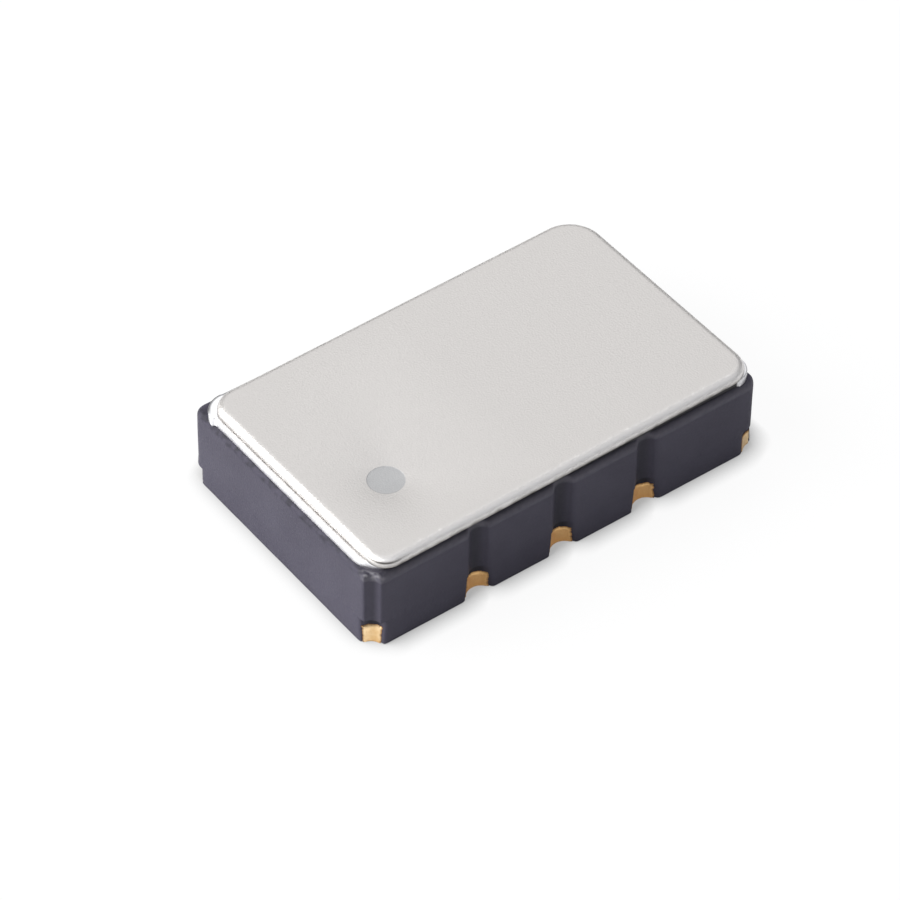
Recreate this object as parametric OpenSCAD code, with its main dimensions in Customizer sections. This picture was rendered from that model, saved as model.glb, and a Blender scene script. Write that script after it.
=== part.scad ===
// Real-time clock module in a castellated ceramic package with a welded metal lid.
// Origin at the middle of the solder plane, X along the long side, Z up, millimetres.

/* [Ceramic base] */
// Length of the ceramic along X
body_l = 5.0; // [4.7:0.05:5.6]
// Width of the ceramic along Y
body_w = 3.15; // [2.9:0.05:3.6]
// Thickness of the bottom layer, which has the plated notches
floor_t = 0.3; // [0.24:0.01:0.40]
// Thickness of the layer with the well for the die
well_t = 0.15; // [0.12:0.01:0.22]
// Thickness of the layer with the crystal ledge
ledge_t = 0.18; // [0.16:0.01:0.28]
// Thickness of the wall layer under the seal ring
wall_t = 0.33; // [0.30:0.01:0.50]
// Rounding of the fired top edge
edge_r = 0.06; // [0.01:0.005:0.06]

/* [Castellations] */
// Pitch of the notches along each long side
notch_pitch = 1.08; // [0.95:0.01:1.2]
// Offset of the side notches from the middle of the ceramic along X
row_shift = -0.065; // [-0.1:0.005:0.1]
// Width of a notch in the bottom layer, at the face
notch_w = 0.33; // [0.28:0.01:0.42]
// Depth of a notch in the bottom layer
notch_d = 0.12; // [0.08:0.01:0.16]
// Width of the groove above a notch, at the face
groove_w = 0.25; // [0.18:0.01:0.27]
// Depth of the groove above a notch
groove_d = 0.085; // [0.05:0.005:0.11]
// Radius of the quarter-round corner notch in the bottom layer
corner_notch_r = 0.19; // [0.16:0.01:0.24]
// How far the notches at the +X corners sit in from the short side
far_notch_in = 0.02; // [0:0.01:0.04]
// How far the notches at the +X corners sit out from the long sides
far_notch_out = 0.1; // [0:0.01:0.12]
// Radius of the quarter-round groove above the notch of pin 1
corner_groove_r = 0.13; // [0.08:0.01:0.15]
// Radius of the three corners without a groove
plain_corner_r = 0.14; // [0.08:0.01:0.16]
// How far the notch of pin 10 sits out from the long side
last_notch_out = 0.05; // [0:0.01:0.08]
// How much lower than the others the notch of pin 10 ends
last_notch_drop = 0.06; // [0:0.01:0.07]

/* [Terminals] */
// Thickness of the solder pads under the ceramic
pad_t = 0.01; // [0.006:0.002:0.03]
// Width along X of a solder pad between the corners
pad_w = 0.6; // [0.45:0.05:0.7]
// Gap between a corner pad and the next one, for a row that isn't offset
pad_gap = 0.47; // [0.3:0.01:0.55]
// Length of a solder pad along Y
pad_l = 0.7; // [0.5:0.05:0.9]
// Distance from the ceramic's edge to a pad
pad_inset = 0.03; // [0.01:0.01:0.06]
// Thickness of the plating in a notch
plating_t = 0.02; // [0.01:0.005:0.03]
// Bare height left between the plating and the top of the bottom layer
plating_gap = 0.11; // [0.04:0.01:0.14]
// Bare strip of the notch's wall left between the plating and the ceramic's sides
plating_inset = 0.045; // [0:0.005:0.05]

/* [Seal ring] */
// Ceramic left bare outside the ring at the short sides
ring_margin_x = 0.04; // [0.03:0.005:0.12]
// Ceramic left bare outside the ring at the long sides, for a ring that isn't off centre
ring_margin_y = 0.09; // [0.06:0.01:0.19]
// How far the ring is brazed off centre, along Y
ring_shift = -0.03; // [-0.05:0.005:0.05]
// Width of the ring's band
ring_band = 0.3; // [0.26:0.01:0.32]
// Thickness of the ring
ring_t = 0.1; // [0.08:0.01:0.16]
// Radius of the ring's outer corners
ring_corner_r = 0.2; // [0.18:0.01:0.3]
// Radius of the ring's inner corners
ring_inner_r = 0.15; // [0.1:0.01:0.25]
// Height of the corner lobes above the straight sides
lobe_d = 0.02; // [0.01:0.005:0.03]

/* [Lid] */
// Thickness of the lid
lid_t = 0.11; // [0.08:0.01:0.15]
// Distance from the ceramic's short sides to the lid
lid_margin_x = 0.07; // [0.05:0.005:0.13]
// Distance from the ceramic's long sides to the lid
lid_margin_y = 0.07; // [0.06:0.005:0.12]
// Radius of the lid's corners seen from above
lid_corner_r = 0.28; // [0.2:0.01:0.4]
// Rounding of the lid's upper edge
lid_edge_r = 0.09; // [0.02:0.005:0.1]
// Least upright rim left under that rounding
lid_rim = 0.02; // [0.01:0.005:0.03]
// How far off the middle the lid is welded, along Y
lid_shift = -0.085; // [-0.1:0.005:0.1]
// Angle the lid is turned by as welded
lid_turn = 0.6; // [-1.5:0.1:1.5]

/* [Cavity] */
// Ceramic wall between the cavity and the short sides
cavity_wall_x = 0.5; // [0.45:0.01:0.55]
// Ceramic wall between the cavity and the long sides
cavity_wall_y = 0.5; // [0.45:0.01:0.52]
// Corner radius of the punched openings
cavity_r = 0.15; // [0.08:0.01:0.2]
// Length of the crystal ledge at the -X end
ledge_l = 0.75; // [0.6:0.05:0.9]
// Width of the bond shelf on each side of the well
shelf_w = 0.365; // [0.31:0.005:0.45]
// Clearance between the die and the wall of its well
well_clear = 0.16; // [0.12:0.01:0.18]

/* [Clock die] */
// Length of the die along X
die_l = 1.7; // [1.5:0.05:1.9]
// Thickness of the die
die_t = 0.15; // [0.12:0.01:0.18]
// Thickness of the die attach
attach_t = 0.02; // [0.01:0.005:0.03]
// How far the die attach squeezes out round the die
attach_out = 0.04; // [0.01:0.01:0.08]

/* [Crystal] */
// Length of the fork's base
fork_base_l = 0.7; // [0.6:0.05:0.9]
// Length of the tines
tine_l = 2.3; // [2.0:0.05:2.4]
// Width of a tine
tine_w = 0.22; // [0.16:0.01:0.26]
// Gap between the tines
tine_gap = 0.12; // [0.08:0.01:0.18]
// Thickness of the quartz
fork_t = 0.12; // [0.08:0.01:0.16]
// Depth of the notches in the sides of the base
fork_notch_d = 0.06; // [0.03:0.01:0.08]
// Length of those notches
fork_notch_l = 0.12; // [0.06:0.01:0.2]
// Distance from the tines to those notches
fork_notch_x = 0.12; // [0.08:0.01:0.2]
// Clearance between the base and the cavity's end wall
fork_clear = 0.1; // [0.06:0.01:0.16]
// Distance between the two adhesive dots
dot_pitch = 0.32; // [0.28:0.01:0.34]
// Radius of an adhesive dot
dot_r = 0.1; // [0.07:0.01:0.12]
// Distance from the base's end to the dots
dot_x = 0.2; // [0.16:0.01:0.3]
// Thickness of the adhesive
dot_t = 0.03; // [0.02:0.005:0.05]
// Margin of the plated pad round an adhesive dot
dot_margin = 0.03; // [0.01:0.01:0.03]

/* [Bonding] */
// Thickness of the plated films on the ledges
film_t = 0.01; // [0.006:0.002:0.016]
// Pitch of the bond fingers along each side of the well
finger_pitch = 0.38; // [0.3:0.01:0.42]
// Width of a bond finger
finger_w = 0.18; // [0.12:0.01:0.24]
// Length of a bond finger
finger_l = 0.22; // [0.16:0.01:0.24]
// Distance from the well to a bond finger
finger_inset = 0.04; // [0.02:0.01:0.06]
// Pitch of the bonds on the die
bond_pitch = 0.3; // [0.24:0.01:0.34]
// Distance from the die's edge to the bonds
bond_inset = 0.09; // [0.06:0.01:0.14]
// Radius of the bond wire
wire_r = 0.0125; // [0.009:0.0005:0.016]
// Radius of the ball under each wire
ball_r = 0.032; // [0.025:0.001:0.04]
// Height of the ball
ball_h = 0.016; // [0.01:0.002:0.024]
// Rise of the wire's loop over the die
loop_h = 0.1; // [0.06:0.01:0.12]

/* [Hidden] */
wire_sides = 8;
wire_steps = 8;
fingers_per_side = 5;
cut = 0.5;
$fn = 48;

ceramic_colour = [0.25, 0.24, 0.28];
gold_colour = [0.86, 0.67, 0.38];
ring_colour = [0.93, 0.93, 0.93];
lid_colour = [0.82, 0.81, 0.79];
silicon_colour = [0.30, 0.32, 0.38];
attach_colour = [0.62, 0.62, 0.60];
quartz_colour = [0.84, 0.88, 0.92];

// Levels, from the solder plane up
notch_top = pad_t + floor_t;
shelf_z = notch_top + well_t;
ledge_z = shelf_z + ledge_t;
ring_z = ledge_z + wall_t;
lid_z = ring_z + ring_t;
die_z = notch_top + attach_t;
die_top = die_z + die_t;
finger_z = shelf_z + film_t;
dot_z = ledge_z + film_t;
fork_z = dot_z + dot_t;

// Plan sizes
cavity_l = body_l - 2 * cavity_wall_x;
cavity_w = body_w - 2 * cavity_wall_y;
well_l = die_l + 2 * well_clear;
well_w = cavity_w - 2 * shelf_w;
die_w = well_w - 2 * well_clear;
well_x = ledge_l / 2;
ring_l = body_l - 2 * ring_margin_x;
ring_w = body_w - 2 * ring_margin_y;
lid_l = body_l - 2 * lid_margin_x;
lid_w = body_w - 2 * lid_margin_y;
fork_x = -cavity_l / 2 + fork_clear;
fork_w = 2 * tine_w + tine_gap;
finger_y = well_w / 2 + finger_inset + finger_l / 2;
corner_pad_w = body_l / 2 - pad_inset - notch_pitch - pad_w / 2 - pad_gap;
lid_round = min(lid_edge_r, lid_t - lid_rim);

// Radius of a round cutter that leaves a mouth of width w and a depth d
function cutter_r(w, d) = (w * w / 4 + d * d) / (2 * d);

notch_r = cutter_r(notch_w, notch_d);
groove_r = cutter_r(groove_w, groove_d);

// Pins 1 to 5 run along the -Y side towards +X, pins 6 to 10 back along the +Y side
function pin_side(k) = k <= 5 ? -1 : 1;
function pin_column(k) = k <= 5 ? k - 3 : 8 - k;
function is_corner(k) = abs(pin_column(k)) == 2;
function is_far(k) = pin_column(k) == 2;

// Radius and plan axis of the round cutters at pin k
function notch_radius(k) = is_corner(k) ? corner_notch_r : notch_r;
function groove_radius(k) = is_corner(k) ? corner_groove_r : groove_r;
function notch_end(k) = k == 10 ? notch_top - last_notch_drop : notch_top;
function cutter_axis(k, in, out) = [
  is_corner(k) ? sign(pin_column(k)) * (body_l / 2 - in) : row_shift + pin_column(k) * notch_pitch,
  pin_side(k) * (body_w / 2 + out)
];
function notch_axis(k) = is_far(k) ? cutter_axis(k, far_notch_in, far_notch_out)
  : cutter_axis(k, 0, k == 10 ? last_notch_out : k == 1 ? 0 : notch_r - notch_d);
function groove_axis(k) = cutter_axis(k, 0, is_corner(k) ? 0 : groove_r - groove_d);

function arc(centre, r, from, to, n) =
  [for (i = [0 : n]) centre + r * [cos(from + (to - from) * i / n), sin(from + (to - from) * i / n)]];

module round_rect(l, w, r) {
  square([l, w - 2 * r], center = true);
  square([l - 2 * r, w], center = true);
  for (sx = [-1, 1], sy = [-1, 1])
    translate([sx * (l / 2 - r), sy * (w / 2 - r)]) circle(r = r);
}

// A plate whose edge is one profile, run along the sides and turned round the corners
module profiled_plate(l, w, r, t) {
  for (s = [-1, 1]) {
    translate([0, s * (w / 2 - r), 0])
      rotate([90, 0, s * 90]) linear_extrude(height = l - 2 * r, center = true) children();
    translate([s * (l / 2 - r), 0, 0])
      rotate([90, 0, 90 - s * 90]) linear_extrude(height = w - 2 * r, center = true) children();
  }
  for (q = [0 : 3])
    translate([(q == 0 || q == 3 ? 1 : -1) * (l / 2 - r), (q < 2 ? 1 : -1) * (w / 2 - r), 0])
      rotate([0, 0, q * 90]) rotate_extrude(angle = 90) children();
  translate([r - l / 2, r - w / 2, 0]) cube([l - 2 * r, w - 2 * r, t]);
}

// Round cutter between two levels
module cutter(axis, r, z0, z1) {
  translate(concat(axis, z0)) cylinder(h = z1 - z0, r = r);
}

// What rounds the top edge of one side, for a side of length l whose face is at y = 0
module edge_cutter(l) {
  rotate([90, 0, 90]) linear_extrude(height = l + 2 * cut, center = true)
    polygon(concat([[-cut, cut], [-cut, -edge_r], [0, -edge_r]], arc([edge_r, -edge_r], edge_r, 180, 90, 4),
      [[edge_r, cut]]));
}

// What rounds a corner that has no groove, above its notch
module corner_cutter(k) {
  sx = sign(pin_column(k));
  sy = pin_side(k);
  translate([sx * (body_l / 2 - plain_corner_r), sy * (body_w / 2 - plain_corner_r), notch_end(k)])
    rotate(atan2(sy, sx) - 45) linear_extrude(height = ring_z - notch_end(k) + cut)
      difference() {
        square(plain_corner_r + cut);
        circle(r = plain_corner_r);
      }
}

module cavity() {
  translate([0, 0, ledge_z]) linear_extrude(height = wall_t + cut) round_rect(cavity_l, cavity_w, cavity_r);
  translate([well_x, 0, shelf_z]) linear_extrude(height = ledge_t + cut)
    round_rect(cavity_l - ledge_l, cavity_w, cavity_r);
  translate([well_x, 0, notch_top]) linear_extrude(height = well_t + cut) round_rect(well_l, well_w, cavity_r);
}

module ceramic_base() {
  color(ceramic_colour)
    difference() {
      translate([-body_l / 2, -body_w / 2, pad_t]) cube([body_l, body_w, ring_z - pad_t]);
      for (s = [0, 1]) {
        rotate([0, 0, s * 180]) translate([0, -body_w / 2, ring_z]) edge_cutter(body_l);
        rotate([0, 0, 90 + s * 180]) translate([0, -body_l / 2, ring_z]) edge_cutter(body_w);
      }
      cavity();
      for (k = [1 : 10]) {
        cutter(notch_axis(k), notch_radius(k), pad_t - cut, notch_end(k));
        if (is_corner(k) && k > 1) corner_cutter(k);
        else cutter(groove_axis(k), groove_radius(k), notch_top, ring_z + cut);
      }
    }
}

// Solder pad under the ceramic, with the plating that climbs the notch
module terminal(k) {
  w = is_corner(k) ? corner_pad_w : pad_w;
  x = is_corner(k) ? sign(pin_column(k)) * (body_l / 2 - pad_inset - w / 2) : notch_axis(k)[0];
  y = pin_side(k) * (body_w / 2 - pad_inset - pad_l / 2);
  lined_l = body_l - 2 * plating_inset;
  lined_w = body_w - 2 * plating_inset;
  plating_top = notch_end(k) - plating_gap;
  color(gold_colour)
    difference() {
      union() {
        translate([x - w / 2, y - pad_l / 2, 0]) cube([w, pad_l, pad_t]);
        intersection() {
          cutter(notch_axis(k), notch_radius(k), 0, plating_top);
          translate([-lined_l / 2, -lined_w / 2, 0]) cube([lined_l, lined_w, plating_top]);
        }
      }
      cutter(notch_axis(k), notch_radius(k) - plating_t, -cut, plating_top + cut);
    }
}

// Flat frame with a raised lobe round each corner
module seal_ring() {
  cx = ring_l / 2 - ring_corner_r;
  cy = ring_w / 2 - ring_corner_r;
  lobe = ring_corner_r + lobe_d;
  color(ring_colour) translate([0, ring_shift, ring_z]) linear_extrude(height = ring_t)
    difference() {
      union() {
        square([ring_l, 2 * cy], center = true);
        square([2 * cx, ring_w], center = true);
        for (q = [0 : 3])
          translate([(q == 0 || q == 3 ? 1 : -1) * cx, (q < 2 ? 1 : -1) * cy]) rotate(q * 90)
            intersection() {
              circle(r = lobe);
              square(lobe);
            }
      }
      round_rect(ring_l - 2 * ring_band, ring_w - 2 * ring_band, ring_inner_r);
    }
}

module lid() {
  color(lid_colour) translate([0, lid_shift, lid_z]) rotate(lid_turn)
    profiled_plate(lid_l, lid_w, lid_corner_r, lid_t)
      polygon(concat([[0, 0], [lid_corner_r, 0]],
        arc([lid_corner_r - lid_round, lid_t - lid_round], lid_round, 0, 90, 6), [[0, lid_t]]));
}

module die_attach() {
  color(attach_colour) translate([well_x, 0, notch_top]) linear_extrude(height = attach_t)
    round_rect(die_l + 2 * attach_out, die_w + 2 * attach_out, attach_out);
}

module clock_die() {
  color(silicon_colour) translate([well_x - die_l / 2, -die_w / 2, die_z]) cube([die_l, die_w, die_t]);
}

// Tuning fork in plan: a notched base and two tines
module tuning_fork() {
  notch_end = fork_base_l - fork_notch_x;
  half = [
    [0, fork_w / 2],
    [notch_end - fork_notch_l, fork_w / 2],
    [notch_end - fork_notch_l, fork_w / 2 - fork_notch_d],
    [notch_end, fork_w / 2 - fork_notch_d],
    [notch_end, fork_w / 2],
    [fork_base_l + tine_l, fork_w / 2],
    [fork_base_l + tine_l, tine_gap / 2],
    [fork_base_l, tine_gap / 2]
  ];
  other = [for (i = [len(half) - 1 : -1 : 0]) [half[i][0], -half[i][1]]];
  color(quartz_colour) translate([fork_x, 0, fork_z]) linear_extrude(height = fork_t)
    polygon(concat(half, other));
}

function dot_place(k) = [fork_x + dot_x, (k == 1 ? -1 : 1) * dot_pitch / 2];

module crystal_pad(k) {
  side = 2 * (dot_r + dot_margin);
  color(gold_colour) translate(concat(dot_place(k), ledge_z)) linear_extrude(height = film_t)
    square(side, center = true);
}

module crystal_adhesive(k) {
  color(attach_colour) translate(concat(dot_place(k), dot_z)) cylinder(h = dot_t, r = dot_r);
}

// Fingers 1 to 5 lie on the -Y shelf, 6 to 10 on the +Y shelf, both from -X to +X
function bond_side(k) = k <= fingers_per_side ? -1 : 1;
function bond_column(k) = (k - 1) % fingers_per_side - (fingers_per_side - 1) / 2;
function finger_place(k) = [well_x + bond_column(k) * finger_pitch, bond_side(k) * finger_y];
function die_bond(k) = [well_x + bond_column(k) * bond_pitch, bond_side(k) * (die_w / 2 - bond_inset)];

module bond_finger(k) {
  color(gold_colour) translate(concat(finger_place(k), shelf_z)) linear_extrude(height = film_t)
    square([finger_w, finger_l], center = true);
}

// Centre line of wire k: up from the ball on the die, over in a loop, down to the finger
function wire_path(k) =
  let (
    a = concat(die_bond(k), die_top),
    e = concat(finger_place(k), finger_z),
    neck = a + [0, 0, 2 * ball_h],
    bend = neck + (e - neck) * 0.25 + [0, 0, 2 * loop_h - 2 * ball_h]
  )
  concat([a, a + [0, 0, ball_h], neck],
    [for (i = [1 : wire_steps]) let (t = i / wire_steps)
      (1 - t) * (1 - t) * neck + 2 * t * (1 - t) * bend + t * t * e]);

function unit(v) = v / norm(v);

// Direction of the path at point i; both ends stand on a level surface
function wire_dir(path, i) =
  i < 2 ? [0, 0, 1] : i == len(path) - 1 ? [0, 0, -1] : unit(path[i + 1] - path[i - 1]);

module bond_wire(k) {
  path = wire_path(k);
  run = path[len(path) - 1] - path[0];
  across = unit(cross([0, 0, 1], [run[0], run[1], 0]));
  points = [for (i = [0 : len(path) - 1], m = [0 : wire_sides - 1])
    path[i] + (i < 2 ? ball_r : wire_r)
      * (cos(m * 360 / wire_sides) * across + sin(m * 360 / wire_sides) * cross(wire_dir(path, i), across))];
  walls = [for (i = [0 : len(path) - 2], m = [0 : wire_sides - 1])
    let (n = (m + 1) % wire_sides, p = i * wire_sides, q = p + wire_sides) [p + m, q + m, q + n, p + n]];
  ends = [[for (m = [0 : wire_sides - 1]) m],
    [for (m = [wire_sides - 1 : -1 : 0]) (len(path) - 1) * wire_sides + m]];
  color(gold_colour) polyhedron(points = points, faces = concat(walls, ends));
}

ceramic_base();
seal_ring();
lid();
clock_die();
die_attach();
tuning_fork();
for (k = [1 : 10]) {
  terminal(k);
  bond_finger(k);
  bond_wire(k);
}
for (k = [1 : 2]) {
  crystal_pad(k);
  crystal_adhesive(k);
}
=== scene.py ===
import math

import bmesh
import bpy
from mathutils import Matrix, Vector, noise


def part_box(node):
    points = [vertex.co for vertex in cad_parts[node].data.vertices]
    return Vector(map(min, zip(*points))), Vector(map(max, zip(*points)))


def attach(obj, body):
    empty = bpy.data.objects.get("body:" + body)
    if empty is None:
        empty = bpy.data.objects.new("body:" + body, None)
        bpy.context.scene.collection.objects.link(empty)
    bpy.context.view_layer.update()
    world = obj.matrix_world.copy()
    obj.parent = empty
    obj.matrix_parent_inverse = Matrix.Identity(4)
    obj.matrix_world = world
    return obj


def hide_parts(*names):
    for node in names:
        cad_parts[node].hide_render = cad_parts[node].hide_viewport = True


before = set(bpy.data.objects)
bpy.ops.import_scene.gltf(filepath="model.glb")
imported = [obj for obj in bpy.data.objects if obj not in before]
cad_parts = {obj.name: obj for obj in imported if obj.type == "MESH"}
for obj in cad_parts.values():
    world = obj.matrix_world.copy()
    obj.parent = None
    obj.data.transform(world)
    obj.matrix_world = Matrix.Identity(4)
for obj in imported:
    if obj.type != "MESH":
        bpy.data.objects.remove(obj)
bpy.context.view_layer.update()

# Ceramic base
# Dark co-fired alumina: a bottom layer with ten notches, grooves above them, soft edges and a stepped cavity.
# The layers are fired into one piece, drawn here as loops of its plan outline from the solder side up.
MM = 0.001
base_low, base_high = (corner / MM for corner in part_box("ceramic_base"))
half_l, half_w = base_high.x, base_high.y
base_z0, base_z1 = base_low.z, base_high.z
pins = range(1, 11)
notch_top, last_notch_top = 0.31, 0.2
shelf_z, ledge_z = 0.46, 0.64
notch_pitch, row_shift = 1.08, -0.065
notch_w, notch_d, notch_taper = 0.33, 0.12, 0.07
groove_w, groove_d = 0.25, 0.085
corner_notch_r, corner_groove_r = 0.19, 0.13
plain_corner_r, hidden_corner_r = 0.14, 0.2
front_foot_r, last_foot_r = 0.15, 0.215
far_notch_in, far_notch_out, last_notch_out = 0.02, 0.1, 0.05
short_edge_r, long_edge_r, foot_r = 0.06, 0.1, 0.005
rim_flare = 0.25
foot_flare = 0.02
cavity_wall, cavity_r = 0.5, 0.15
ledge_l, shelf_w, well_l = 0.75, 0.365, 2.02
layer_slip = 0.002
level_gap = 0.0005


def cutter_r(width, depth):
    """Radius of a round punch that leaves a mouth of this width and a notch of this depth."""
    return (width * width / 4 + depth * depth) / (2 * depth)


def pin_side(k):
    """Long side that pin k is on, -1 for the near one."""
    return -1 if k <= 5 else 1


def pin_column(k):
    """Place of pin k along its side, from -2 to 2, where the ends are corners."""
    return k - 3 if k <= 5 else 8 - k


def notch_cut(k, z=0.0):
    """Plan centre and radius of the notch at pin k, in the bottom layer, at a height."""
    side, column = pin_side(k), pin_column(k)
    if column == 2:
        return half_l - far_notch_in, side * (half_w + far_notch_out), corner_notch_r
    if column == -2:
        out, low_r = (0.0, front_foot_r) if k == 1 else (last_notch_out, last_foot_r)
        return -half_l, side * (half_w + out), low_r + (corner_notch_r - low_r) * z / notch_top
    r = cutter_r(notch_w - notch_taper * z / notch_top, notch_d)
    return row_shift + column * notch_pitch, side * (half_w + r - notch_d), r


def groove_cut(k, grow):
    """Plan centre and radius of the shallower groove above it, widened by grow."""
    side, column = pin_side(k), pin_column(k)
    if abs(column) == 2:
        return math.copysign(half_l, column), side * half_w, corner_groove_r + grow
    r = cutter_r(groove_w, groove_d)
    return row_shift + column * notch_pitch, side * (half_w + r - groove_d), r + grow


def arc_ends(k, cut, hx, hy):
    """Where the round cut at pin k meets the faces, in the order of a walk round the body."""
    cx, cy, r = cut
    side, column = pin_side(k), pin_column(k)
    reach = math.sqrt(r * r - (abs(cy) - hy) ** 2)
    if abs(column) < 2:
        return Vector((cx + side * reach, side * hy)), Vector((cx - side * reach, side * hy))
    sx = math.copysign(1, column)
    on_long = Vector((cx - sx * reach, side * hy))
    on_short = Vector((sx * hx, cy - side * math.sqrt(r * r - (abs(cx) - hx) ** 2)))
    return (on_short, on_long) if sx * side > 0 else (on_long, on_short)


def arc_between(centre, first, last, steps):
    """Points on the arc round a centre from one end to the other."""
    centre = Vector(centre)
    turn = (last - centre).angle_signed(first - centre)
    return [centre + Matrix.Rotation(turn * i / steps, 2) @ (first - centre) for i in range(steps + 1)]


def plain_corner(k, hx, hy, steps):
    """Points round a corner without a groove, rounder at pin 6, which the lid hides."""
    side, sx = pin_side(k), math.copysign(1, pin_column(k))
    r = hidden_corner_r if k == 6 else plain_corner_r
    centre = Vector((sx * (half_l - r), side * (half_w - r)))
    rx, ry = hx - half_l + r, hy - half_w + r
    angles = [math.pi / 2 * i / steps for i in range(steps + 1)]
    points = [centre + Vector((sx * rx * math.cos(a), side * ry * math.sin(a))) for a in angles]
    return points if sx * side > 0 else points[::-1]


def soften(points, rounds):
    """Rounds off the corners of a closed line of points."""
    for _ in range(rounds):
        count = len(points)
        points = [points[i] / 2 + (points[i - 1] + points[(i + 1) % count]) / 4 for i in range(count)]
    return points


def plan_outline(z, upper, inset_x, inset_y):
    """Plan of the body at a height, its faces drawn in, with the notches or the grooves cut into it."""
    hx, hy = half_l - inset_x, half_w - inset_y
    arc_steps, long_steps, short_steps = 20, 38, 100
    cuts = []
    for k in pins:
        plain = k > 1 and abs(pin_column(k)) == 2
        if plain and (upper or (k == 10 and z > last_notch_top)):
            cuts.append(plain_corner(k, hx, hy, arc_steps))
            continue
        cut = groove_cut(k, rim_flare * inset_y) if upper else notch_cut(k, z)
        cuts.append(arc_between(cut[:2], *arc_ends(k, cut, hx, hy), arc_steps))
    points = []
    for k, cut, following in zip(pins, cuts, cuts[1:] + cuts[:1]):
        steps = short_steps if k % 5 == 0 else long_steps
        points += cut
        points += [cut[-1].lerp(following[0], i / steps) for i in range(1, steps)]
    return soften(points, rounds=3)


def round_rect(length, width, radii, centre=(0, 0), steps=8, side_steps=1):
    """Rectangle with rounded corners, walked counter-clockwise from its +X +Y corner."""
    corners = []
    for q, (sx, sy) in enumerate(((1, 1), (-1, 1), (-1, -1), (1, -1))):
        r = radii[q]
        middle = Vector((centre[0] + sx * (length / 2 - r), centre[1] + sy * (width / 2 - r)))
        angles = [math.pi / 2 * (q + i / steps) for i in range(steps + 1)]
        corners.append([middle + Vector((r * math.cos(a), r * math.sin(a))) for a in angles])
    points = []
    for corner, following in zip(corners, corners[1:] + corners[:1]):
        points += corner
        points += [corner[-1].lerp(following[0], i / side_steps) for i in range(1, side_steps)]
    return points


def round_off(r, steps):
    """Height and inset of a rounded edge, from where it leaves the side to where it meets the top."""
    angles = [math.pi / 2 * i / steps for i in range(steps + 1)]
    return [(r * math.sin(a), r * (1 - math.cos(a))) for a in angles]


def evenly(low, high, steps):
    """Heights at even steps from low to high."""
    return [low + (high - low) * i / steps for i in range(steps + 1)]


def add_loop(bm, points, z):
    """Vertices of a plan outline at a height."""
    return [bm.verts.new((p.x, p.y, z)) for p in points]


def add_wall(bm, low, high):
    """Band of quads between two loops with the same number of points."""
    for i in range(len(low)):
        bm.faces.new((low[i - 1], low[i], high[i], high[i - 1]))


def add_cap(bm, *loops):
    """Flat face bounded by one loop, or by one loop inside another."""
    edges = []
    for loop in loops:
        for a, b in zip(loop, loop[1:] + loop[:1]):
            edges.append(bm.edges.get((a, b)) or bm.edges.new((a, b)))
    bmesh.ops.triangle_fill(bm, use_beauty=True, edges=edges)


def make_piece(bm, name, materials, nodes, sharp=40):
    """Turns a mesh drawn in millimetres into a piece of the part that stands for CAD nodes."""
    bmesh.ops.recalc_face_normals(bm, faces=bm.faces)
    for face in bm.faces:
        face.smooth = True
    for edge in bm.edges:
        edge.smooth = not (edge.is_manifold and edge.calc_face_angle() > math.radians(sharp))
    bmesh.ops.scale(bm, vec=(MM, MM, MM), verts=bm.verts)
    mesh = bpy.data.meshes.new(name)
    bm.to_mesh(mesh)
    bm.free()
    piece = bpy.data.objects.new(name, mesh)
    bpy.context.scene.collection.objects.link(piece)
    for material in materials:
        mesh.materials.append(material)
    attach(piece, "root")
    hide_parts(*nodes)


def grain_group():
    """Shader group: mottled mask and fine height of a surface, by places in the part's own frame."""
    group = bpy.data.node_groups.new("surface_grain", "ShaderNodeTree")
    group.interface.new_socket("Patch Scale", in_out="INPUT", socket_type="NodeSocketFloat")
    group.interface.new_socket("Grain Scale", in_out="INPUT", socket_type="NodeSocketFloat")
    group.interface.new_socket("Patches", in_out="OUTPUT", socket_type="NodeSocketFloat")
    group.interface.new_socket("Grain", in_out="OUTPUT", socket_type="NodeSocketFloat")
    nodes, links = group.nodes, group.links
    inside = nodes.new("NodeGroupInput")
    outside = nodes.new("NodeGroupOutput")
    place = nodes.new("ShaderNodeTexCoord")
    for source, target, detail in (("Patch Scale", "Patches", 3), ("Grain Scale", "Grain", 6)):
        cloud = nodes.new("ShaderNodeTexNoise")
        cloud.inputs["Detail"].default_value = detail
        spread = nodes.new("ShaderNodeMapRange")
        spread.inputs["From Min"].default_value = 0.3
        spread.inputs["From Max"].default_value = 0.7
        links.new(place.outputs["Object"], cloud.inputs["Vector"])
        links.new(inside.outputs[source], cloud.inputs["Scale"])
        links.new(cloud.outputs["Fac"], spread.inputs["Value"])
        links.new(spread.outputs["Result"], outside.inputs[target])
    return group


surface_grain = grain_group()


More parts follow.
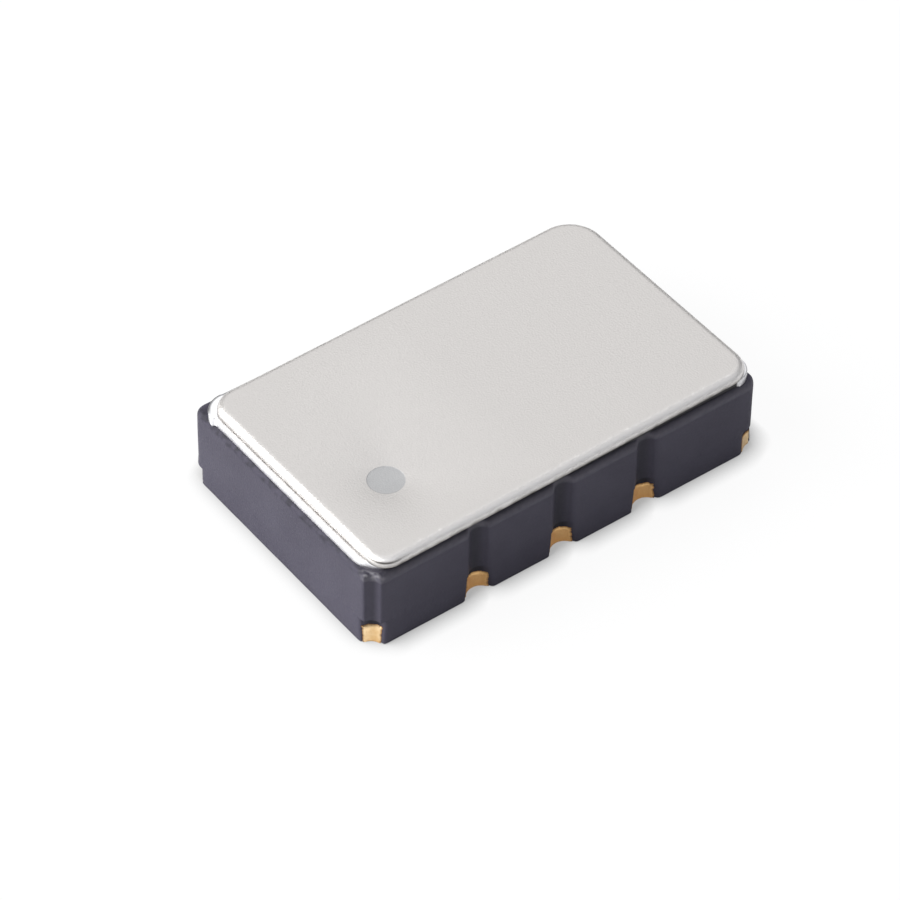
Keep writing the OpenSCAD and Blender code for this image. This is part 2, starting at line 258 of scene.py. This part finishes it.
def new_material(name, patch_scale, grain_scale, bump, roughness, metallic, dark, light, tone_by="Patches"):
    """Surface whose colour drifts from dark to light, with a fine bumped grain."""
    material = bpy.data.materials.new(name)
    material.use_nodes = True
    nodes, links = material.node_tree.nodes, material.node_tree.links
    shader = nodes["Principled BSDF"]
    shader.inputs["Metallic"].default_value = metallic
    grain = nodes.new("ShaderNodeGroup")
    grain.node_tree = surface_grain
    grain.inputs["Patch Scale"].default_value = patch_scale
    grain.inputs["Grain Scale"].default_value = grain_scale
    tone = nodes.new("ShaderNodeValToRGB")
    tone.color_ramp.elements[0].color = (*dark, 1)
    tone.color_ramp.elements[1].color = (*light, 1)
    gloss = nodes.new("ShaderNodeMapRange")
    gloss.inputs["To Min"].default_value = roughness[0]
    gloss.inputs["To Max"].default_value = roughness[1]
    relief = nodes.new("ShaderNodeBump")
    relief.inputs["Strength"].default_value = 1
    relief.inputs["Distance"].default_value = bump * MM
    links.new(grain.outputs[tone_by], tone.inputs["Fac"])
    links.new(tone.outputs["Color"], shader.inputs["Base Color"])
    links.new(grain.outputs["Grain"], gloss.inputs["Value"])
    links.new(gloss.outputs["Result"], shader.inputs["Roughness"])
    links.new(grain.outputs["Grain"], relief.inputs["Height"])
    links.new(relief.outputs["Normal"], shader.inputs["Normal"])
    return material


def mark_over(material, attribute, colour):
    """Lays a colour over a material's own where a mesh attribute marks the place."""
    nodes, links = material.node_tree.nodes, material.node_tree.links
    base = nodes["Principled BSDF"].inputs["Base Color"]
    mark = nodes.new("ShaderNodeAttribute")
    mark.attribute_name = attribute
    over = nodes.new("ShaderNodeMix")
    over.data_type = "RGBA"
    over.inputs["B"].default_value = (*colour, 1)
    links.new(mark.outputs["Fac"], over.inputs["Factor"])
    links.new(base.links[0].from_socket, over.inputs["A"])
    links.new(over.outputs["Result"], base)


def clamp(value):
    """The value, held between 0 and 1."""
    return min(1.0, max(0.0, value))


def drift(place, scale, seed=(0, 0, 0)):
    """Smooth random value at a place, with its own seed."""
    return noise.noise(place * scale + Vector(seed))


ceramic = new_material("fired_ceramic", patch_scale=1600, grain_scale=40000, bump=0.0012,
                       roughness=(0.5, 0.62), metallic=0.0,
                       dark=(0.051, 0.047, 0.066), light=(0.061, 0.057, 0.078))
ceramic.node_tree.nodes["Principled BSDF"].inputs["Specular IOR Level"].default_value = 0.15
# Painted shade deep in the grooves and notches, and dark specks along the top rim of the near short face.
mark_over(ceramic, "groove_shade_and_specks", colour=(0.024, 0.023, 0.030))
# Lighter: real wear and chips near the front corner, and a painted sheen on the rounded top edge of the near
# long face.
mark_over(ceramic, "wear_and_sheen", colour=(0.34, 0.33, 0.35))

bm = bmesh.new()
wear_and_sheen = bm.verts.layers.float.new("wear_and_sheen")
groove_shade_and_specks = bm.verts.layers.float.new("groove_shade_and_specks")
foot_round = reversed(round_off(foot_r, steps=3))
low_levels = [(base_z0 + foot_r - inset, foot_r - rise) for rise, inset in foot_round]
low_levels += [(z, 0) for z in evenly(base_z0 + foot_r, last_notch_top, 5)[1:]]
low_levels += [(z, 0) for z in evenly(last_notch_top + level_gap, notch_top, 2)]
levels = []
for z, inset in low_levels:
    drawn_in = inset - foot_flare * (1 - z / notch_top)
    levels.append((z, False, drawn_in, drawn_in))
levels += [(z, True, 0, 0) for z in evenly(notch_top + level_gap, base_z1 - long_edge_r, 8)]
for rise, inset_y in round_off(long_edge_r, steps=12)[1:]:
    over = max(0.0, rise - long_edge_r + short_edge_r)
    inset_x = short_edge_r - math.sqrt(short_edge_r ** 2 - over ** 2)
    levels.append((base_z1 - long_edge_r + rise, True, inset_x, inset_y))
loops = [add_loop(bm, plan_outline(*level), level[0]) for level in levels]
shell = [(vert, level[2:]) for level, loop in zip(levels, loops) for vert in loop]
for low, high in zip(loops, loops[1:]):
    add_wall(bm, low, high)

cavity_l, cavity_w = 2 * (half_l - cavity_wall), 2 * (half_w - cavity_wall)
well_x = ledge_l / 2
mouth = round_rect(cavity_l, cavity_w, [cavity_r] * 4)
pocket = round_rect(cavity_l - ledge_l - layer_slip, cavity_w - 2 * layer_slip, [cavity_r] * 4,
                    (well_x - layer_slip / 2, 0))
well = round_rect(well_l, cavity_w - 2 * shelf_w, [cavity_r] * 4, (well_x, 0))
cavity_steps = ((mouth, base_z1, ledge_z), (pocket, ledge_z, shelf_z), (well, shelf_z, notch_top))
outer = loops[-1]
for points, top, bottom in cavity_steps:
    upper, lower = add_loop(bm, points, top), add_loop(bm, points, bottom)
    add_cap(bm, outer, upper)
    add_wall(bm, upper, lower)
    outer = lower
add_cap(bm, outer)
add_cap(bm, loops[0])
bm.normal_update()

front_corner = Vector((-half_l, -half_w))
corner_reach = 0.24
recess_from, recess_full = 0.045, 0.05
swell_d, ripple_d, chip_d, chip_from = 0.003, 0.001, 0.016, 0.2
edge_sheen_level, band_fleck, near_rate = 0.15, 0.05, 3
corner_wear, fleck_from = 3.2, -0.15
speck_reach, speck_fade, speck_shade = 0.09, 0.03, 0.75
speck_cover, speck_spread = 0.35, 1.6
speck_rim, speck_rim_full = 0.08, 0.4
for vert, (inset_x, inset_y) in shell:
    p = vert.co.copy()
    out = Vector((vert.normal.x, vert.normal.y, 0))
    rim = clamp((p.z - base_z1 + long_edge_r) / long_edge_r)
    near_front = clamp(1 - (p.xy - front_corner).length / corner_reach)
    swell = drift(p, 2.5, (5, 1, 2)) * swell_d + drift(p, 12.0) * ripple_d
    chip = max(0.0, drift(p, 16.0, (3, 8, 1)) - chip_from) * chip_d
    fleck = drift(p, 26.0, (2, 4, 6))
    vert.co += out * (swell - chip * rim)
    # Painted sheen along the rounded top edge of the near long face; the rubbed flecks near the front corner
    # are wear.
    edge_sheen = 4 * rim * (1 - rim) * clamp(-near_rate * out.y)
    rubbed = corner_wear * near_front * rim ** 2 * max(0.0, fleck - fleck_from)
    vert[wear_and_sheen] = clamp(edge_sheen * (edge_sheen_level + band_fleck * fleck) + rubbed)
    # Painted shade that deepens into the grooves and notches, kept off the front corner groove; dark specks
    # along the top rim of the short face.
    depth = min(half_l - inset_x - abs(p.x), half_w - inset_y - abs(p.y))
    groove_shade = clamp((depth - recess_from) / recess_full)
    if p.z > notch_top:
        groove_shade *= 1 - near_front
    on_short = clamp((speck_reach - half_l - p.x) / speck_fade)
    on_rim = clamp((rim - speck_rim) / speck_rim_full)
    speck = clamp(speck_cover + speck_spread * drift(p, 17.0, (7, 7, 2))) * on_short * on_rim
    vert[groove_shade_and_specks] = max(groove_shade, speck_shade * speck * (1 - near_front))
make_piece(bm, "ceramic_body", [ceramic], ["ceramic_base"])

# Terminals
# Gold over nickel, plated on the fired ceramic: a solder pad under each pin, and a film up its notch.
# The film's edges are ragged where the plating ran out, and darker where it is thin.
plating_gap = 0.1
film_spans = {1: (0.04, 0.87), 2: (0.25, 0.94), 3: (0.25, 0.94), 4: (0.25, 0.94), 5: (0.06, 0.94)}
hidden_span = (0.1, 0.9)
plating_t, least_t, mottle_d = 0.016, 0.003, 0.0018
plating_sink = 0.004
far_drop = 0.03
rag_coarse, rag_fine, rag_side = 0.012, 0.007, 0.06
coarse_waves, fine_waves, side_waves = 5, 18, 45
mottle_across, mottle_up = 12, 60
side_rate, top_rate = 9, 7
thin_rate, rag_rate = 1.6, 4
notch_bounce = 0.9
seed_step = 3.7
pad_t = base_z0
pad_w, pad_l, pad_inset, pad_gap = 0.6, 0.7, 0.03, 0.47
corner_pad_w = half_l - pad_inset - notch_pitch - pad_w / 2 - pad_gap
pad_levels = [(0.0, 0.004), (0.003, 0.001), (pad_t * 0.6, 0.0), (pad_t, 0.0)]

gold = new_material("gold_plate", patch_scale=9000, grain_scale=60000, bump=0.0015,
                    roughness=(0.28, 0.44), metallic=1.0,
                    dark=(0.72, 0.49, 0.24), light=(0.92, 0.71, 0.43))
# Painted reflection: deeper gold on the side pins, standing for light bounced inside their notches.
mark_over(gold, "bounce_tint", colour=(0.93, 0.56, 0.23))
mark_over(gold, "thin", colour=(0.30, 0.15, 0.06))


def film_height(k):
    """Height at which the film of pin k ends."""
    end = last_notch_top if k == 10 else notch_top
    return end - plating_gap - (far_drop if pin_column(k) == 2 else 0)


def add_film(bm, thin_mark, bounce_mark, k):
    """Thin plated film on the notch's wall, thinning out to ragged edges."""
    seed = Vector((k * seed_step, 0, 0))
    span = film_spans.get(k, hidden_span)
    across, up = 40, 20
    face, back = [], []
    for j in range(up + 1):
        v = j / up
        cx, cy, r = notch_cut(k, v * film_height(k))
        first, last = (end - Vector((cx, cy)) for end in arc_ends(k, (cx, cy, r), half_l, half_w))
        start, turn = math.atan2(first.y, first.x), last.angle_signed(first)
        for i in range(across + 1):
            u = i / across
            coarse = noise.noise(seed + Vector((u * coarse_waves, 0, 9))) * rag_coarse
            fine = noise.noise(seed + Vector((u * fine_waves, 0, 5))) * rag_fine
            z = v * (film_height(k) + coarse + fine)
            edge = noise.noise(seed + Vector((0, z * side_waves, 3 if u < 0.5 else 7))) * rag_side
            along = u + (edge * (1 - 2 * u) if v > 0 else 0)
            a = start + turn * (span[0] + (span[1] - span[0]) * along)
            thin = min(1.0, side_rate * u, side_rate * (1 - u), top_rate * (1 - v))
            mottle = noise.noise(seed + Vector((u * mottle_across, z * mottle_up, 1))) * mottle_d
            depth = max(least_t, plating_t * math.sqrt(thin) + mottle)
            for shelf, reach in ((face, r - depth), (back, r + plating_sink)):
                vert = bm.verts.new((cx + reach * math.cos(a), cy + reach * math.sin(a), z))
                vert[thin_mark] = clamp(1 - thin * thin_rate + edge * rag_rate)
                # Painted reflection tone, on the side pins only.
                vert[bounce_mark] = notch_bounce if abs(pin_column(k)) < 2 else 0.0
                shelf.append(vert)
    row = across + 1
    for j in range(up):
        for i in range(across):
            p = j * row + i
            bm.faces.new((face[p], face[p + 1], face[p + row + 1], face[p + row]))
            bm.faces.new((back[p + row], back[p + row + 1], back[p + 1], back[p]))
    rim = [j * row for j in range(up)] + [up * row + i for i in range(across)]
    rim += [(up - j) * row + across for j in range(up)] + [across - i for i in range(across)]
    for a, b in zip(rim, rim[1:] + rim[:1]):
        bm.faces.new((face[a], face[b], back[b], back[a]))


def pad_outline(k, inset):
    """Pad in plan: a rectangle under the pin with its notch cut away."""
    cx, cy, r = notch_cut(k)
    side, column = pin_side(k), pin_column(k)
    corner = abs(column) == 2
    width = corner_pad_w if corner else pad_w
    x = math.copysign(half_l - pad_inset - width / 2, column) if corner else cx
    y = side * (half_w - pad_inset - pad_l / 2)
    hx, hy = width / 2 - inset, pad_l / 2 - inset
    bite, bite_steps = r - plating_t + inset, 16
    edge_y = y + side * hy
    reach = math.sqrt(bite * bite - (cy - edge_y) ** 2)
    ends = {(sx, sy): Vector((x + sx * hx, y + sy * hy)) for sx in (-1, 1) for sy in (-1, 1)}
    if not corner:
        first, last = Vector((cx + side * reach, edge_y)), Vector((cx - side * reach, edge_y))
        arc = arc_between((cx, cy), first, last, bite_steps)
        return [ends[side, side], *arc, ends[-side, side], ends[-side, -side], ends[side, -side]]
    sx = int(math.copysign(1, column))
    edge_x = x + sx * hx
    on_long = Vector((cx - sx * reach, edge_y))
    on_short = Vector((edge_x, cy - side * math.sqrt(bite * bite - (cx - edge_x) ** 2)))
    arc = arc_between((cx, cy), on_short, on_long, bite_steps)
    return [*arc, ends[-sx, side], ends[-sx, -side], ends[sx, -side]]


for k in pins:
    bm = bmesh.new()
    thin_mark = bm.verts.layers.float.new("thin")
    bounce_mark = bm.verts.layers.float.new("bounce_tint")
    loops = [add_loop(bm, pad_outline(k, inset), z) for z, inset in pad_levels]
    for low, high in zip(loops, loops[1:]):
        add_wall(bm, low, high)
    add_cap(bm, loops[0])
    add_cap(bm, loops[-1])
    add_film(bm, thin_mark, bounce_mark, k)
    make_piece(bm, f"plated_terminal_{k}", [gold], [f"terminal_{k}"])

# Parts inside the cavity
# Clock die on its adhesive, quartz fork on two adhesive dots, plated fingers and looped gold wires.
# They are cemented and bonded in before the lid goes on, and keep their CAD form.
silicon = new_material("silicon_die", patch_scale=14000, grain_scale=90000, bump=0.0004,
                       roughness=(0.12, 0.22), metallic=0.0,
                       dark=(0.05, 0.055, 0.08), light=(0.13, 0.12, 0.17))
adhesive = new_material("silver_adhesive", patch_scale=5000, grain_scale=50000, bump=0.004,
                        roughness=(0.45, 0.7), metallic=0.3,
                        dark=(0.34, 0.34, 0.33), light=(0.55, 0.55, 0.53))
quartz = new_material("quartz", patch_scale=2500, grain_scale=60000, bump=0.0005,
                      roughness=(0.08, 0.16), metallic=0.0,
                      dark=(0.74, 0.79, 0.84), light=(0.86, 0.90, 0.93))
quartz.node_tree.nodes["Principled BSDF"].inputs["Transmission Weight"].default_value = 0.7
bond_gold = new_material("bond_gold", patch_scale=7000, grain_scale=80000, bump=0.0005,
                         roughness=(0.18, 0.3), metallic=1.0,
                         dark=(0.74, 0.50, 0.20), light=(0.88, 0.64, 0.31))
inner_looks = {"clock_die": silicon, "die_attach": adhesive, "tuning_fork": quartz,
               "crystal_adhesive": adhesive, "crystal_pad": bond_gold,
               "bond_finger": bond_gold, "bond_wire": bond_gold}
for name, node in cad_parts.items():
    look = inner_looks.get(name.rstrip("0123456789").rstrip("_"))
    if look:
        node.data.materials.clear()
        node.data.materials.append(look)

# Seal ring
# Flat frame of nickel-plated alloy, brazed on the ceramic, with a lobe at its left and right corners.
# Its bare band shows along the short side that the lid leaves free. Painted shade darkens its long sides and
# right lobe.
ring_low, ring_high = (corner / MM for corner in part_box("seal_ring"))
lobe_d = 0.02
ring_corner_r, ring_inner_r, ring_band, ring_edge_r = 0.2, 0.15, 0.3, 0.014
ring_back_r, ring_left_r, ring_front_r = 0.3, 0.25, 0.31
left_lobe_back, left_lobe_near = 0.01, 0.04
foot_in, foot_rise, ring_waver = 0.001, 0.01, 0.0015
ring_l, ring_w = ring_high.x - ring_low.x - 2 * lobe_d, ring_high.y - ring_low.y - 2 * lobe_d
ring_centre = (ring_low.xy + ring_high.xy) / 2
shade_band, near_reach, near_fade, lobe_fade = 0.025, 0.07, 0.03, 0.02
far_from, far_rate, far_shade, lobe_shade = 0.25, 3, 0.8, 0.3

nickel = new_material("ring_nickel", patch_scale=5000, grain_scale=50000, bump=0.0006,
                      roughness=(0.3, 0.4), metallic=1.0,
                      dark=(0.82, 0.815, 0.82), light=(0.89, 0.885, 0.89))
# Painted shade: the near side under the lid's overhang, the flanks facing the far side, and the right lobe.
mark_over(nickel, "painted_shade", colour=(0.05, 0.048, 0.05))


def ring_outline(inset):
    """Outer edge of the ring in plan: straight sides, round corners, and a lobe at two of them."""
    arc_steps, jog_steps, side_steps = 24, 3, 60
    radii = (ring_back_r, ring_left_r, ring_front_r, ring_corner_r)
    lobes = ((0, 0), (left_lobe_back, left_lobe_near), (0, 0), (lobe_d, lobe_d))
    corners = []
    for q, (sx, sy) in enumerate(((1, 1), (-1, 1), (-1, -1), (1, -1))):
        corner_r, (first, last) = radii[q], lobes[q]
        middle = ring_centre + Vector((sx * (ring_l / 2 - corner_r), sy * (ring_w / 2 - corner_r)))
        turn = [(first * i / jog_steps, 0.0) for i in range(jog_steps)]
        turn += [(first + (last - first) * i / arc_steps, i / arc_steps) for i in range(arc_steps + 1)]
        turn += [(last * i / jog_steps, 1.0) for i in reversed(range(jog_steps))]
        angles = [(corner_r - inset + lobe, math.pi / 2 * (q + t)) for lobe, t in turn]
        corners.append([middle + Vector((r * math.cos(a), r * math.sin(a))) for r, a in angles])
    points = []
    for corner, following in zip(corners, corners[1:] + corners[:1]):
        points += corner
        points += [corner[-1].lerp(following[0], i / side_steps) for i in range(1, side_steps)]
    return soften(points, rounds=2)


bm = bmesh.new()
painted_shade = bm.verts.layers.float.new("painted_shade")
ring_levels = [(ring_low.z, foot_in), (ring_low.z + foot_rise, 0.0)]
ring_levels += [(ring_high.z - ring_edge_r + rise, inset) for rise, inset in round_off(ring_edge_r, steps=4)]
ring_levels += [(ring_high.z, ring_edge_r + shade_band)]
loops = [add_loop(bm, ring_outline(inset), z) for z, inset in ring_levels]
for vert in (vert for loop in loops for vert in loop):
    out = Vector((vert.co.x, vert.co.y, 0)).normalized()
    vert.co += out * drift(vert.co, 6.0) * ring_waver
for low, high in zip(loops, loops[1:]):
    add_wall(bm, low, high)
opening = round_rect(ring_l - 2 * ring_band, ring_w - 2 * ring_band, [ring_inner_r] * 4, ring_centre)
inner_low, inner_high = add_loop(bm, opening, ring_low.z), add_loop(bm, opening, ring_high.z)
add_wall(bm, inner_low, inner_high)
add_cap(bm, loops[-1], inner_high)
add_cap(bm, loops[0], inner_low)
bm.normal_update()
lobe_from = ring_high.x - lobe_d - ring_corner_r
# Painted shade on the near side under the lid's overhang, on flanks that face the far side, and on the right
# lobe.
for loop in loops:
    for vert, flank in zip(loop, loops[1]):
        x, y = vert.co.xy
        near_side = clamp((ring_low.y + near_reach - y) / near_fade) * clamp((lobe_from - x) / lobe_fade)
        far_side = 0.0 if loop is loops[-1] else far_shade * clamp(far_rate * (flank.normal.y - far_from))
        right_lobe = lobe_shade if x > lobe_from and y < 0 else 0.0
        vert[painted_shade] = max(near_side, far_side, right_lobe)
make_piece(bm, "brazed_ring", [nickel], ["seal_ring"])

# Lid
# Flat plate of the same alloy, matte, with a rounded upper edge and a plain pin 1 mark set into its top.
# It is seam-welded on the ring a little off centre and slightly turned, with painted shade along its lower
# rim.
lid_low, lid_high = (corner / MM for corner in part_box("lid"))
lid_l, lid_w, lid_edge_r, lid_rim = 4.86, 3.01, 0.09, 0.02
lid_corner_r = (0.4, 0.28, 0.22, 0.3)
lid_turn = Matrix.Rotation(math.radians(0.6), 2)
lid_centre = (lid_low.xy + lid_high.xy) / 2 + Vector((0.01, 0))
flat_margin = 0.03
mark_centre = Vector((-1.634, -0.645))
mark_r, mark_depth, mark_steps = 0.197, 0.004, 64
mark_profile = ((0.006, 0.0), (0.002, 0.3), (-0.002, 0.8), (-0.008, 1.0))

lid_metal = new_material("lid_metal", patch_scale=1500, grain_scale=45000, bump=0.0016,
                         roughness=(0.40, 0.52), metallic=1.0,
                         dark=(0.57, 0.55, 0.53), light=(0.61, 0.59, 0.57), tone_by="Grain")
# Painted highlight: a sheen on the bevel facing the near side, a glint at the front corner, and bright flecks
# on that bevel.
mark_over(lid_metal, "sheen_and_flecks", colour=(0.96, 0.94, 0.92))
# Painted shade along the lower rim, stronger where it faces the near side, and a painted dark reflection arc
# at the front corner.
mark_over(lid_metal, "painted_shade", colour=(0.12, 0.11, 0.10))
mark_grey = new_material("pin_mark", patch_scale=4000, grain_scale=60000, bump=0.001,
                         roughness=(0.5, 0.62), metallic=0.8,
                         dark=(0.43, 0.43, 0.43), light=(0.47, 0.47, 0.47))


def lid_outline(inset):
    """Edge of the lid in plan, drawn in, where it lies on the ring."""
    radii = [r - inset for r in lid_corner_r]
    plan = round_rect(lid_l - 2 * inset, lid_w - 2 * inset, radii, steps=20, side_steps=160)
    return [lid_centre + lid_turn @ p for p in plan]


def peak(value, place, width):
    """Bump of height 1 at a place, with this width."""
    return math.exp(-((value - place) / width) ** 2)


bm = bmesh.new()
painted_shade = bm.verts.layers.float.new("painted_shade")
sheen_and_flecks = bm.verts.layers.float.new("sheen_and_flecks")
lid_levels = [(lid_low.z + lid_rim - rise, inset) for rise, inset in reversed(round_off(lid_rim, steps=3))]
lid_levels += [(lid_high.z - lid_edge_r + rise, inset) for rise, inset in round_off(lid_edge_r, steps=16)]
lid_levels += [(lid_high.z, lid_edge_r + flat_margin)]
loops = [add_loop(bm, lid_outline(inset), z) for z, inset in lid_levels]
for low, high in zip(loops, loops[1:]):
    add_wall(bm, low, high)
mark_loops = []
for grow, drop in mark_profile:
    angles = [math.tau * t / mark_steps for t in range(mark_steps)]
    circle = [mark_centre + (mark_r + grow) * Vector((math.cos(a), math.sin(a))) for a in angles]
    mark_loops.append(add_loop(bm, circle, lid_high.z - drop * mark_depth))
add_cap(bm, loops[0])
add_cap(bm, loops[-1], mark_loops[0])
for high, low in zip(mark_loops, mark_loops[1:]):
    add_wall(bm, high, low)
add_cap(bm, mark_loops[-1])
bm.normal_update()

lid_front = lid_centre + lid_turn @ Vector((-lid_l / 2, -lid_w / 2))
rim_shade_reach, rim_shade_facing, rim_shade_gain = 0.44, 0.18, 1.25
rim_shade_cover, rim_shade_spread = 0.8, 0.4
arc_reach = 0.4
arc_at, arc_width, arc_shade = 0.62, 0.08, 1.6
glint_at, glint_width, glint_gain = 0.82, 0.07, 2
spark_from, spark_rate, spark_gain, spark_side = 0.3, 3, 0.7, 8
sheen_from, sheen_rate, sheen_gain = 0.25, 2, 1.4
for vert in (vert for loop in loops[:-1] for vert in loop):
    p = vert.co
    rise = (p.z - lid_low.z) / (lid_high.z - lid_low.z)
    facing = clamp(-vert.normal.y)
    # Painted shade up the lower rim, reaching higher where the rim faces the near side; a painted dark
    # reflection arc near the front corner.
    rough = rim_shade_cover + rim_shade_spread * drift(p, 14.0)
    low_rim = clamp(rim_shade_gain * (1 - rise / (rim_shade_reach + rim_shade_facing * facing))) * rough
    near = clamp(1 - (p.xy - lid_front).length / arc_reach)
    vert[painted_shade] = clamp(max(low_rim, arc_shade * near * peak(rise, arc_at, arc_width)))
    # Painted highlight: bright flecks and a sheen on the bevel facing the near side, and a glint above the
    # dark arc at the front corner.
    spark = clamp(spark_rate * (drift(p, 17.0, (1, 9, 4)) - spark_from)) * clamp(spark_side * facing)
    glint = glint_gain * near * peak(rise, glint_at, glint_width)
    sheen = sheen_gain * facing * clamp(sheen_rate * (rise - sheen_from))
    vert[sheen_and_flecks] = clamp(max(sheen, spark_gain * spark, glint))
for face in bm.faces:
    centre = face.calc_center_median()
    if (centre.xy - mark_centre).length < mark_r and centre.z > lid_high.z - 2 * mark_depth:
        face.material_index = 1
make_piece(bm, "welded_lid", [lid_metal, mark_grey], ["lid"])

# Floor, light and camera
# White paper table, which glows for the camera with a painted shadow close to the part, under a sky that is
# brightest overhead, with a large soft box at the left and a dimmer one behind.
# The camera is a long lens that looks down on the pin 1 corner.
floor_half, floor_z = 0.3, -0.000001
shadow_reach = 0.00025
mesh = bpy.data.meshes.new("floor")
mesh.from_pydata([(-floor_half, -floor_half, 0), (floor_half, -floor_half, 0), (floor_half, floor_half, 0),
                  (-floor_half, floor_half, 0)], [], [(0, 1, 2, 3)])
floor = bpy.data.objects.new("floor", mesh)
bpy.context.scene.collection.objects.link(floor)
floor.location.z = floor_z
paper = new_material("floor_paper", patch_scale=40, grain_scale=3000, bump=0.002,
                     roughness=(0.8, 0.9), metallic=0.0,
                     dark=(0.90, 0.90, 0.90), light=(0.92, 0.92, 0.92))
nodes, links = paper.node_tree.nodes, paper.node_tree.links
nodes["Principled BSDF"].inputs["Specular IOR Level"].default_value = 0.1
# Painted shadow: for the camera the glow dims with ambient occlusion near the part, leaning so the left side
# stays lighter.
lean = nodes.new("ShaderNodeNormal")
lean.outputs["Normal"].default_value = (-0.5, 0.0, 0.866)
nearby = nodes.new("ShaderNodeAmbientOcclusion")
nearby.inputs["Distance"].default_value = shadow_reach
shade = nodes.new("ShaderNodeMapRange")
shade.inputs["From Min"].default_value = 0.5
shade.inputs["To Min"].default_value = 0.42
glow = nodes.new("ShaderNodeEmission")
glow.inputs["Color"].default_value = (1, 1, 1, 1)
ray = nodes.new("ShaderNodeLightPath")
share = nodes.new("ShaderNodeMapRange")
share.inputs["To Max"].default_value = 0.92
blend = nodes.new("ShaderNodeMixShader")
links.new(lean.outputs["Normal"], nearby.inputs["Normal"])
links.new(nearby.outputs["AO"], shade.inputs["Value"])
links.new(shade.outputs["Result"], glow.inputs["Strength"])
links.new(ray.outputs["Is Camera Ray"], share.inputs["Value"])
links.new(share.outputs["Result"], blend.inputs["Fac"])
links.new(nodes["Principled BSDF"].outputs["BSDF"], blend.inputs[1])
links.new(glow.outputs["Emission"], blend.inputs[2])
links.new(blend.outputs["Shader"], nodes["Material Output"].inputs["Surface"])
mesh.materials.append(paper)

world = bpy.data.worlds.new("studio")
bpy.context.scene.world = world
world.use_nodes = True
nodes, links = world.node_tree.nodes, world.node_tree.links
fill = nodes["Background"]
fill.inputs["Color"].default_value = (0.96, 0.97, 1.0, 1)
way = nodes.new("ShaderNodeTexCoord")
height = nodes.new("ShaderNodeSeparateXYZ")
sky = nodes.new("ShaderNodeMapRange")
sky.inputs["From Min"].default_value = 0.1
sky.inputs["From Max"].default_value = 1.0
sky.inputs["To Min"].default_value = 0.145
sky.inputs["To Max"].default_value = 0.9
white = nodes.new("ShaderNodeBackground")
white.inputs["Color"].default_value = (1, 1, 1, 1)
white.inputs["Strength"].default_value = 1
ray = nodes.new("ShaderNodeLightPath")
choose = nodes.new("ShaderNodeMixShader")
links.new(way.outputs["Generated"], height.inputs["Vector"])
links.new(height.outputs["Z"], sky.inputs["Value"])
links.new(sky.outputs["Result"], fill.inputs["Strength"])
links.new(ray.outputs["Is Camera Ray"], choose.inputs["Fac"])
links.new(fill.outputs["Background"], choose.inputs[1])
links.new(white.outputs["Background"], choose.inputs[2])
links.new(choose.outputs["Shader"], nodes["World Output"].inputs["Surface"])


def soft_box(name, place, size, energy):
    """Square area light that faces the part."""
    light = bpy.data.lights.new(name, "AREA")
    light.shape = "SQUARE"
    light.size = size
    light.energy = energy
    box = bpy.data.objects.new(name, light)
    box.location = place
    box.rotation_euler = (-Vector(place)).to_track_quat("-Z", "Y").to_euler()
    bpy.context.scene.collection.objects.link(box)


soft_box("key_box", place=(-0.085, 0.045, 0.05), size=0.1, energy=0.207)
soft_box("back_box", place=(0.05, 0.075, 0.085), size=0.11, energy=0.03)

azimuth, elevation, roll = math.radians(-37.29), math.radians(44.638), math.radians(0.849)
eye = Vector((-21.941, -28.372, 35.548)) * MM
outward = math.cos(elevation)
back = Vector((math.sin(azimuth) * outward, -math.cos(azimuth) * outward, math.sin(elevation)))
right = Vector((0, 0, 1)).cross(back).normalized()
view = Matrix((right, back.cross(right), back)).transposed() @ Matrix.Rotation(roll, 3, "Z")
lens = bpy.data.cameras.new("camera")
lens.lens = 192.188
lens.sensor_width = 36
lens.clip_start = 0.001
camera = bpy.data.objects.new("camera", lens)
camera.matrix_world = Matrix.Translation(eye) @ view.to_4x4()
bpy.context.scene.collection.objects.link(camera)
bpy.context.scene.camera = camera
bpy.context.scene.view_settings.view_transform = "Standard"
